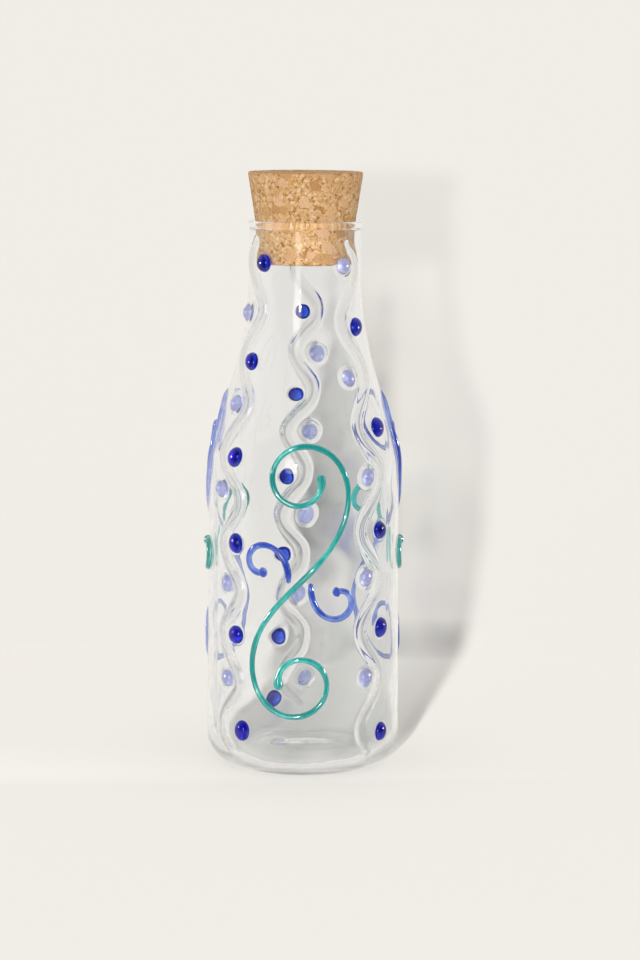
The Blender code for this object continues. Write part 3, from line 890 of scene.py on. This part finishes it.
# Paper sweep, lamps and surroundings
cream = (0.8796, 0.8469, 0.7991)
studio = {
    "around": 0.62,          # what scattering surfaces receive from all round
    "lampPlace": (-0.262, -1.500, 0.330), "lampRadius": 0.035,
    "lampPower": 35.5, "paperPower": 220.0,      # the second lights the paper alone
    "paperHalf": 2.5, "wallAway": 0.320, "wallLean": radians(6),
    "sweepRadius": 0.130, "sweepPoints": 40,
    # share of the light that the paper scatters, by height, and so the depth of its shadows
    "wallShares": [(0.0, 0.83), (0.012, 0.26), (0.03, 0.175), (0.06, 0.14), (0.09, 0.085),
                   (0.19, 0.065), (0.26, 0.05)],
    "frontShare": 0.34, "frontY": (-0.14, -0.03), "plainY": (-0.65, -0.45),
    # more of it by a share, with soft edges (axis, outside, inside), on two parts of the wall
    "deeper": [(2.3, [("X", -0.015, 0.005), ("X", 0.060, 0.045), ("Z", 0.015, 0.060),
                      ("Z", 0.220, 0.150)]),
               (0.8, [("X", 0.045, 0.060), ("X", 0.085, 0.070), ("Z", 0.035, 0.055),
                      ("Z", 0.095, 0.070)])],
    # painted shade: the floor in front, dark grey as the glass mirrors it
    "paintedFloorShade": (0.14, 0.14, 0.14), "paintedFloorShadeY": (-0.08, -0.30),
    # the room from in front of the bottle to behind it, through glass and as mirrored
    "throughRoom": [(0.12, (0.10, 0.10, 0.11)), (0.34, (0.40, 0.40, 0.40)), (0.5, cream)],
    "mirroredRoom": [(0.16, (0.10, 0.10, 0.11)), (0.42, (0.55, 0.55, 0.55)), (0.6, cream)],
    # a soft panel that the glass mirrors: azimuth, elevation, half width, half height
    "panel": (radians(-15), radians(6), radians(9), radians(14)), "panelEdge": (1.2, 0.5),
    "panelLight": (6.0, 6.0, 6.0, 1),
    # small lamps at both sides that only put glints on the drops and threads
    "glintPlaces": {"left": (-1.0, -0.12, 0.24), "right": (1.0, -0.06, 0.24)},
    "glintRadius": 0.09, "glintPower": 22.0,
}


def makePaper():
    # floor, a quarter round and a wall that leans back, as one sheet seen from its front only
    radius, lean, half = studio["sweepRadius"], studio["wallLean"], studio["paperHalf"]
    curve = arcPoints((studio["wallAway"] - radius, radius), radius, -pi / 2, -lean,
                      studio["sweepPoints"])
    top = curve[-1] + np.array([sin(lean), cos(lean)]) * half
    line = np.concatenate([[(-half, 0)], curve, [top]])
    points = [(x, y, z) for y, z in line for x in (-half, half)]
    faces = [(2 * i, 2 * i + 1, 2 * i + 3, 2 * i + 2) for i in range(len(line) - 1)]
    mesh = bpy.data.meshes.new("paperSweep")
    mesh.from_pydata(points, [], faces)
    mesh.shade_smooth()
    mesh.materials.append(makePaperMaterial())
    paper = addObject("paperSweep", mesh)
    return paper


def makePaperMaterial():
    # the paper receives the lamps' power times the slant over the square of the distance, plus the
    # light from all round. It scatters a share, and its glow makes up the rest to an even cream
    material, shader, output = newMaterial("creamPaper")
    tree.nodes.remove(shader)
    geometry = node("NewGeometry")
    place = node("SeparateXYZ", {0: geometry["Position"]})
    toLamp = vectors("SUBTRACT", studio["lampPlace"], geometry["Position"])
    away = vectors("LENGTH", toLamp)
    facing = vectors("DOT_PRODUCT", vectors("NORMALIZE", toLamp), geometry["Normal"])
    shares = studio["wallShares"]
    top, floorShare = shares[-1][0], shares[0][1]
    share = ramp(calc("DIVIDE", place["Z"], top),
                 [(height / top, (value,) * 3) for height, value in shares])
    front = mapped(place["Y"], *studio["frontY"], studio["frontShare"] / floorShare, 1.0,
                   "SMOOTHSTEP")
    farFront = mapped(place["Y"], *studio["plainY"])
    share = calc("MULTIPLY", calc("MULTIPLY", share, front), farFront)
    for more, edges in studio["deeper"]:
        for axis, outside, inside in edges:
            edge = mapped(place[axis], outside, inside, kind="SMOOTHSTEP")
            more = calc("MULTIPLY", more, edge)
        share = calc("MULTIPLY", share, calc("ADD", more, 1.0))
    power = (studio["lampPower"] + studio["paperPower"]) / (4 * pi ** 2)
    lamp = calc("DIVIDE", calc("MULTIPLY", facing, power), calc("MULTIPLY", away, away))
    given = calc("MULTIPLY", share, calc("ADD", lamp, studio["around"]))
    glow = calc("MAXIMUM", calc("SUBTRACT", 1.0, given), 0.0)
    glowing = shine("Emission", (*cream, 1), glow)
    matt = node("BsdfDiffuse", {"Color": scaled(cream, share)})[0]
    seen = node("AddShader", {0: glowing, 1: matt})[0]
    path = node("LightPath")
    # painted shade: rays that the glass mirrored see the floor in front as dark grey
    paintedShadeFront = mapped(place["Y"], *studio["paintedFloorShadeY"], kind="SMOOTHSTEP")
    seen = mixed(calc("MULTIPLY", paintedShadeFront, mirroredOnce(path)), seen,
                 shine("Emission", (*studio["paintedFloorShade"], 1)))
    seen = mixed(scattered(path), seen, shine("Emission", (1, 1, 1, 1), studio["around"]))
    clear = node("BsdfTransparent")[0]
    feed(output, {"Surface": mixed(geometry["Backfacing"], seen, clear)})
    return material


def softPanel(direction, azimuth, elevation, halfWide, halfHigh):
    # 1 inside a soft oval in the room, by the root of its squared offsets over the half sizes
    out = (sin(azimuth) * cos(elevation), -cos(azimuth) * cos(elevation), sin(elevation))
    side = (cos(azimuth), sin(azimuth), 0)
    up = (-sin(azimuth) * sin(elevation), cos(azimuth) * sin(elevation), cos(elevation))
    squares = []
    for axis, half in ((side, halfWide), (up, halfHigh)):
        offset = calc("DIVIDE", vectors("DOT_PRODUCT", direction, axis), half)
        squares.append(calc("MULTIPLY", offset, offset))
    away = calc("SQRT", calc("ADD", *squares))
    inside = mapped(away, *studio["panelEdge"], kind="SMOOTHSTEP")
    front = calc("GREATER_THAN", vectors("DOT_PRODUCT", direction, out), 0.0)
    return calc("MULTIPLY", inside, front)


def makeWorld():
    # cream straight on, a dimmer room for mirrored rays, even light for scattered ones
    world = bpy.data.worlds.new("studioRoom")
    bpy.context.scene.world = world
    startTree(world)
    tree.nodes.remove(tree.nodes["Background"])
    path = node("LightPath")
    direction = node("TexCoord")["Generated"]
    backward = mapped(node("SeparateXYZ", {0: direction})["Y"], -1.0, 1.0)
    through = ramp(backward, studio["throughRoom"])
    mirrored = ramp(backward, studio["mirroredRoom"])
    mirrored = blend(softPanel(direction, *studio["panel"]), mirrored, studio["panelLight"])
    room = mixed(path["Is Transmission Ray"], shine("Background", mirrored),
                 shine("Background", through))
    seen = mixed(mirroredOnce(path), shine("Background", (*cream, 1)), room)
    seen = mixed(scattered(path), seen, shine("Background", (1, 1, 1, 1), studio["around"]))
    feed(tree.nodes["World Output"], {"Surface": seen})


def makeLamp(name, place, radius, power, litAlone=()):
    # a round lamp, which lights everything or only the pieces that it is given
    light = bpy.data.lights.new(name, "POINT")
    light.energy = power
    light.shadow_soft_size = radius
    lamp = addObject(name, light)
    lamp.location = place
    if litAlone:
        lit = bpy.data.collections.new(name + "Lights")
        for piece in litAlone:
            lit.objects.link(piece)
        lamp.light_linking.receiver_collection = lit
    return lamp


camera = {"away": 1.0903, "height": 0.3104, "down": radians(9.3), "right": radians(0.39),
          "roll": radians(0.38), "lens": 89.25, "sensor": 36}


def makeCamera():
    # in front of the bottle: rolled, tipped down from level, then turned right
    data = bpy.data.cameras.new("photoCamera")
    data.lens = camera["lens"]
    data.sensor_width = camera["sensor"]
    holder = addObject("photoCamera", data)
    turn = (Matrix.Rotation(-camera["right"], 4, "Z")
            @ Matrix.Rotation(pi / 2 - camera["down"], 4, "X")
            @ Matrix.Rotation(camera["roll"], 4, "Z"))
    holder.matrix_world = Matrix.Translation((0, -camera["away"], camera["height"])) @ turn
    bpy.context.scene.camera = holder


paper = makePaper()
makeWorld()
makeLamp("keyLamp", studio["lampPlace"], studio["lampRadius"], studio["lampPower"])
makeLamp("paperLamp", studio["lampPlace"], studio["lampRadius"], studio["paperPower"], [paper])
for side, place in studio["glintPlaces"].items():
    glint = makeLamp(side + "Glint", place, studio["glintRadius"], studio["glintPower"],
                     colouredPieces)
    glint.visible_diffuse = False
makeCamera()
bpy.context.scene.view_settings.view_transform = "Standard"
print("paper, lamp, room and camera set")
